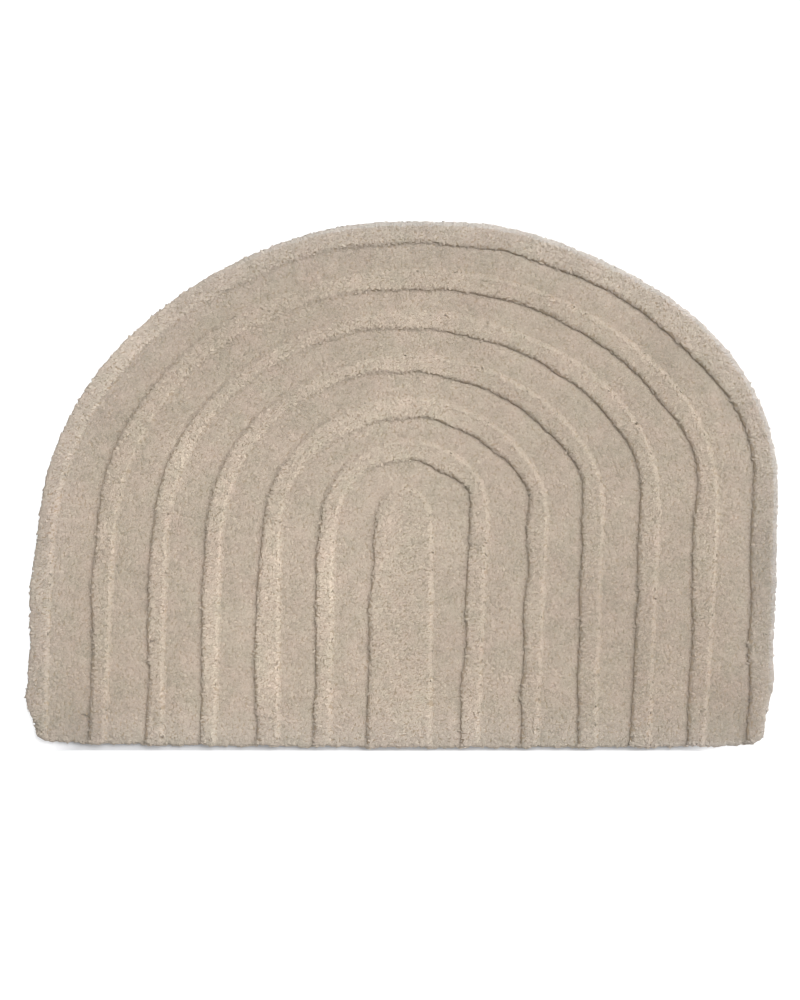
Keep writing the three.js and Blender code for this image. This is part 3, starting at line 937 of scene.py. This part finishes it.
def heather_group():
    """Heathered wool: two fibre colours mixed by fine noise, a slow drift of tone over the mat and patches
    of it, painted shade that darkens the root, and a slight drift of hue."""
    name = "Heathered wool"
    if name in bpy.data.node_groups:
        return bpy.data.node_groups[name]
    group, given, result = new_group(
        name,
        [("Vector", "Vector", (0, 0, 0)), ("Wool", "Color", WHITE), ("Dark fibre", "Color", (0, 0, 0, 1)),
         ("Tone", "Float", 0.0), ("Depth", "Float", 1.0), ("Pale", "Float", 1.0), ("Faded", "Float", 0.0)],
        [("Color", "Color"), ("Height", "Float")])

    def math(kind, a, b, clamp=False):
        return add_node(group, "Math", ((0, a), (1, b)), operation=kind, use_clamp=clamp).outputs[0]

    def noise(scale, detail):
        values = (("Scale", scale), ("Detail", detail), ("Vector", given["Vector"]))
        return add_node(group, "TexNoise", values).outputs["Fac"]

    def spread(values, times):
        return math("MULTIPLY", math("SUBTRACT", values, 0.5), times)

    def mix(values, blend="MIX"):
        return add_node(group, "Mix", values, data_type="RGBA", blend_type=blend).outputs["Result"]

    grain = fibre_grain(group, given["Vector"], FIBRE_SCALE)
    fibre = spread(grain, FIBRE_SPREAD)
    drift, patch = (spread(noise(scale, detail), times) for scale, detail, times in (DRIFT, PATCH))
    tone = math("ADD", given["Tone"], DARK_SHARE)
    share = math("ADD", math("ADD", math("ADD", fibre, drift), patch), tone, True)
    fibres = mix((("Factor", share), ("A", given["Wool"]), ("B", given["Dark fibre"])))
    # Painted shade towards the root, times the paleness from the mesh
    deep = math("POWER", given["Depth"], ROOT_CURVE)
    dims = [math("ADD", math("MULTIPLY", deep, 1 - dark), dark) for dark in ROOT_SHADE]
    shades = [(i, math("MULTIPLY", dim, given["Pale"])) for i, dim in enumerate(dims)]
    shade = add_node(group, "CombineColor", shades).outputs["Color"]
    rooted = mix((("Factor", 1.0), ("A", fibres), ("B", shade)), "MULTIPLY")
    tint = mix((("A", HUES[0]), ("B", HUES[1]), ("Factor", noise(*HUE_DRIFT))))
    hue = mix((("Factor", 1.0), ("A", rooted), ("B", tint)), "MULTIPLY")
    full = math("SUBTRACT", 1.0, given["Faded"])
    faded = add_node(group, "HueSaturation", (("Saturation", full), ("Color", hue)))
    fill(group, result, (("Color", faded.outputs["Color"]), ("Height", grain)))
    return group


def new_material(name):
    """A new material, with its tree, its shader and the place on the piece that patterns are read at."""
    material = bpy.data.materials.new(name)
    material.use_nodes = True
    tree = material.node_tree
    return material, tree, tree.nodes["Principled BSDF"], add_node(tree, "TexCoord").outputs["Object"]


def bumped(tree, height, strength, distance):
    """A normal bent by a height."""
    values = (("Strength", strength), ("Distance", distance * M), ("Height", height))
    return add_node(tree, "Bump", values).outputs["Normal"]


def wool_material(name, tufted):
    """Matt wool with a soft sheen. On tufts, tone, depth, paleness and greying come from the mesh; the
    ground between is painted as all root, in the root's painted shade."""
    if name in bpy.data.materials:
        return bpy.data.materials[name]
    looks = bpy.context.scene.doormat_wool
    material, tree, shader, place_in = new_material(name)
    colours = (("Wool", (*looks.wool, 1)), ("Dark fibre", (*looks.shade, 1)), ("Vector", place_in))
    heather = add_node(tree, "Group", colours, node_tree=heather_group())
    if tufted:
        for label, times in (("Tone", looks.tone_spread), ("Depth", 1.0), ("Pale", 1.0), ("Faded", 1.0)):
            reading = add_node(tree, "Attribute", attribute_name=label.lower()).outputs["Fac"]
            scaled = add_node(tree, "Math", ((0, reading), (1, times)), operation="MULTIPLY").outputs[0]
            fill(tree, heather, [(label, scaled)])
    else:
        fill(tree, heather, [("Depth", GROUND_DEPTH)])
    normal = bumped(tree, heather.outputs["Height"], 0.6, 0.6)
    fill(tree, shader, (
        ("Base Color", heather.outputs["Color"]), ("Normal", normal), ("Roughness", 0.95),
        ("Specular IOR Level", 0.15), ("Sheen Weight", 0.25), ("Sheen Roughness", 0.5)))
    return material


def backing_material():
    """Plain cotton of the underside: a fine check of two tones, one square to a thread, whose squares stand
    up in turn, and fibre grain."""
    name = "Backing cloth"
    if name in bpy.data.materials:
        return bpy.data.materials[name]
    looks = bpy.context.scene.doormat_wool
    material, tree, shader, place_in = new_material(name)
    tones = [(label, (*(c * lift for c in looks.backing), 1)) for label, lift in BACKING_TONES]
    weave = add_node(tree, "TexChecker", (("Scale", 1 / (THREAD * M)), *tones, ("Vector", place_in)))
    grain = fibre_grain(tree, place_in, BACKING_GRAIN)
    height = add_node(tree, "Math", ((0, weave.outputs["Fac"]), (1, grain)), operation="ADD").outputs[0]
    normal = bumped(tree, height, 0.5, 0.3)
    fill(tree, shader, (("Base Color", weave.outputs["Color"]), ("Normal", normal), ("Roughness", 0.9)))
    return material


def floor_material(looks):
    """Plain paint that glows by itself, painted light that washes out the mat's shadow: the more, the further
    from the hem's dark strip along X or along Y, and the brighter of the two counts."""
    material, tree, shader, place_on = new_material("Floor")
    parts = add_node(tree, "SeparateXYZ", [("Vector", place_on)])
    glows = []
    for label, dark, start, full in zip("XY", HEM_DARK, GLOW_FROM, GLOW_FULL):
        beside = add_node(tree, "Math", ((0, parts.outputs[label]), (1, -dark)), operation="ADD").outputs[0]
        away = add_node(tree, "Math", [(0, beside)], operation="ABSOLUTE").outputs[0]
        glows.append(add_node(tree, "MapRange", (
            ("From Min", start), ("From Max", full), ("To Min", HEM_GLOW), ("To Max", looks.glow),
            ("Value", away))).outputs["Result"])
    brighter = add_node(tree, "Math", enumerate(glows), operation="MAXIMUM").outputs[0]
    fill(tree, shader, (
        ("Base Color", (*looks.floor, 1)), ("Roughness", 0.9), ("Emission Color", WHITE),
        ("Emission Strength", brighter)))
    return material


def make_pile(strip):
    """The tufts of one strip, and on the rim those of the mat's side wall too."""
    draw = np.random.default_rng(sizes().seed + STRIPS.index(strip))
    tufts = standing_tufts(strip, draw)
    if strip[0] == "rim":
        tufts = [np.concatenate(pair) for pair in zip(tufts, wall_tufts(draw))]
    name = f"pile_{strip[0]}"
    pile = 2 if strip[0] == "rim" else int(strip[3])
    return place(name, tuft_mesh(name, *tufts, pile, draw), wool_material("Wool tufts", True))


def put(name, data):
    """A new object of the stage in the scene."""
    thing = bpy.data.objects.new(name, data)
    bpy.context.scene.collection.objects.link(thing)
    return thing


def add_floor(looks):
    """A level square of paint, a hair under the mat."""
    mesh = bpy.data.meshes.new("floor")
    signs = ((-1, -1), (1, -1), (1, 1), (-1, 1))
    corners = [(x * FLOOR_REACH, y * FLOOR_REACH, -FLOOR_DROP) for x, y in signs]
    mesh.from_pydata(corners, [], [(0, 1, 2, 3)])
    mesh.materials.append(floor_material(looks))
    put("floor", mesh)


def add_lights(looks):
    """White light from all round, the three suns and a soft light overhead that the camera doesn't see."""
    sky = bpy.data.worlds.new("Studio")
    sky.use_nodes = True
    fill(sky.node_tree, sky.node_tree.nodes["Background"], (("Color", WHITE), ("Strength", looks.fill)))
    bpy.context.scene.world = sky
    for label, towards, wide in SUNS:
        sun = bpy.data.lights.new(label, "SUN")
        sun.energy = getattr(looks, label)
        sun.angle = np.radians(wide)
        put(label, sun).rotation_euler = Vector(towards).to_track_quat("Z", "Y").to_euler()
    box = bpy.data.lights.new("softbox", "AREA")
    box.energy = looks.softbox
    box.size = SOFTBOX_SIZE
    overhead = put("softbox", box)
    overhead.location = SOFTBOX_PLACE
    overhead.visible_camera = False


def add_camera(looks):
    """A camera straight over the mat, at the height and place where a pixel covers what it does in the
    picture."""
    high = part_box(NODE)[1]
    pixel = PIXEL * M
    lens = bpy.data.cameras.new("camera")
    lens.lens = looks.lens
    lens.sensor_width = SENSOR
    lens.clip_end = 100
    camera = put("camera", lens)
    away = pixel * PICTURE[1] * looks.lens / SENSOR + high.z / 2
    middle_x = SHIFT[0] * M + (PICTURE[0] / 2 - CENTRE_PIXEL[0]) * pixel
    middle_y = SHIFT[1] * M - (PICTURE[1] / 2 - CENTRE_PIXEL[1]) * pixel
    camera.location = (middle_x, middle_y, away)
    bpy.context.scene.camera = camera


class DOORMAT_OT_ground(bpy.types.Operator):
    """Makes the mat's ground: backing and pile roots, with the ribs' form"""

    bl_idname = "doormat.ground"
    bl_label = "Ground and backing"

    def execute(self, context):
        mesh = body_mesh("mat_ground")
        mesh.materials.append(wool_material("Wool ground", False))
        mesh.materials.append(backing_material())
        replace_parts(place("mat_ground", mesh, None), NODE)
        return {"FINISHED"}


class DOORMAT_OT_fields(bpy.types.Operator):
    """Tufts the low pile between the ribs"""

    bl_idname = "doormat.fields"
    bl_label = "Low pile"

    def execute(self, context):
        for strip in STRIPS:
            if not strip[3]:
                make_pile(strip)
        return {"FINISHED"}


class DOORMAT_OT_ribs(bpy.types.Operator):
    """Tufts the raised ribs and the middle arch"""

    bl_idname = "doormat.ribs"
    bl_label = "Ribs and middle arch"

    def execute(self, context):
        for strip in STRIPS:
            if strip[3] and strip[0] != "rim":
                make_pile(strip)
        return {"FINISHED"}


class DOORMAT_OT_rim(bpy.types.Operator):
    """Tufts the raised rim and the side wall"""

    bl_idname = "doormat.rim"
    bl_label = "Rim and side wall"

    def execute(self, context):
        make_pile(STRIPS[-1])
        return {"FINISHED"}


class DOORMAT_OT_stage(bpy.types.Operator):
    """Sets the floor, the lights and the camera"""

    bl_idname = "doormat.stage"
    bl_label = "Stage"

    def execute(self, context):
        looks = context.scene.doormat_stage
        add_floor(looks)
        add_lights(looks)
        add_camera(looks)
        context.scene.view_settings.view_transform = "Standard"
        context.scene.cycles.filter_width = FILTER
        return {"FINISHED"}


class DOORMAT_PT_panel(bpy.types.Panel):
    bl_idname = "DOORMAT_PT_panel"
    bl_label = "Tufted arch doormat"
    bl_space_type = "VIEW_3D"
    bl_region_type = "UI"
    bl_category = "Doormat"

    def draw(self, context):
        for operator in OPERATORS:
            self.layout.operator(operator.bl_idname)


OPERATORS = (DOORMAT_OT_ground, DOORMAT_OT_fields, DOORMAT_OT_ribs, DOORMAT_OT_rim, DOORMAT_OT_stage)
GROUPS = (("doormat_sizes", MatSizes), ("doormat_wool", WoolLooks), ("doormat_stage", StageLooks))


def register():
    for kind in (*(group for _, group in GROUPS), *OPERATORS, DOORMAT_PT_panel):
        bpy.utils.register_class(kind)
    for name, group in GROUPS:
        setattr(bpy.types.Scene, name, PointerProperty(type=group))


def unregister():
    for name, _ in GROUPS:
        delattr(bpy.types.Scene, name)
    for kind in (DOORMAT_PT_panel, *reversed(OPERATORS), *(group for _, group in reversed(GROUPS))):
        bpy.utils.unregister_class(kind)


def main():
    register()
    bpy.ops.doormat.ground()
    bpy.ops.doormat.fields()
    bpy.ops.doormat.ribs()
    bpy.ops.doormat.rim()
    bpy.ops.doormat.stage()


if __name__ == "__main__":
    main()
